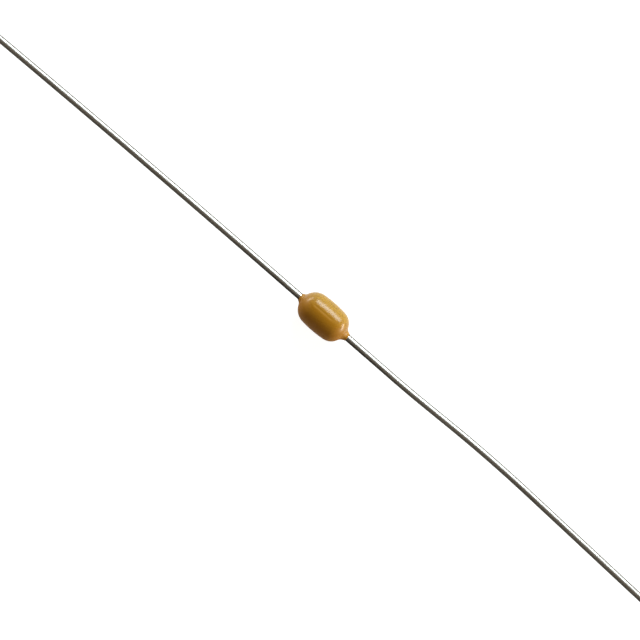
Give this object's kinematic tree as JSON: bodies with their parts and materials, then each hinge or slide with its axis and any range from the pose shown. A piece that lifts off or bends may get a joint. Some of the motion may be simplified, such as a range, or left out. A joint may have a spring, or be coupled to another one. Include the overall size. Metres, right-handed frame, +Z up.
{
  "type": "axial ceramic capacitor",
  "caption": "Small barrel-shaped ceramic capacitor: a dipped ochre epoxy body with a slim tinned wire lead out of each end, slightly bowed.",
  "frame": {"origin": "middle of the part, on the axis of the barrel-shaped body, which is also the middle of its bounding box", "axes": "+X along the leads towards the right lead, +Z up with both leads level, as the part lies on a bench, +Y across; the leads bow in the XY plane"},
  "size_m": [0.064, 0.0026, 0.0026],
  "materials": {
    "epoxy": "gloss",
    "fired_ceramic": "matte",
    "electrode_metal": "satin",
    "fired_silver": "satin",
    "solder": "gloss",
    "tinned_wire": "gloss"
  },
  "bodies": {
    "root": {"epoxy_coating": "epoxy", "ceramic_chip": "fired_ceramic", "left_electrode_1": "electrode_metal", "left_electrode_2": "electrode_metal", "left_electrode_3": "electrode_metal", "left_electrode_4": "electrode_metal", "left_electrode_5": "electrode_metal", "left_electrode_6": "electrode_metal", "right_electrode_1": "electrode_metal", "right_electrode_2": "electrode_metal", "right_electrode_3": "electrode_metal", "right_electrode_4": "electrode_metal", "right_electrode_5": "electrode_metal", "right_electrode_6": "electrode_metal", "left_termination": "fired_silver", "right_termination": "fired_silver", "left_solder": "solder", "right_solder": "solder", "left_lead": "tinned_wire", "right_lead": "tinned_wire"}
  },
  "joints": []
}
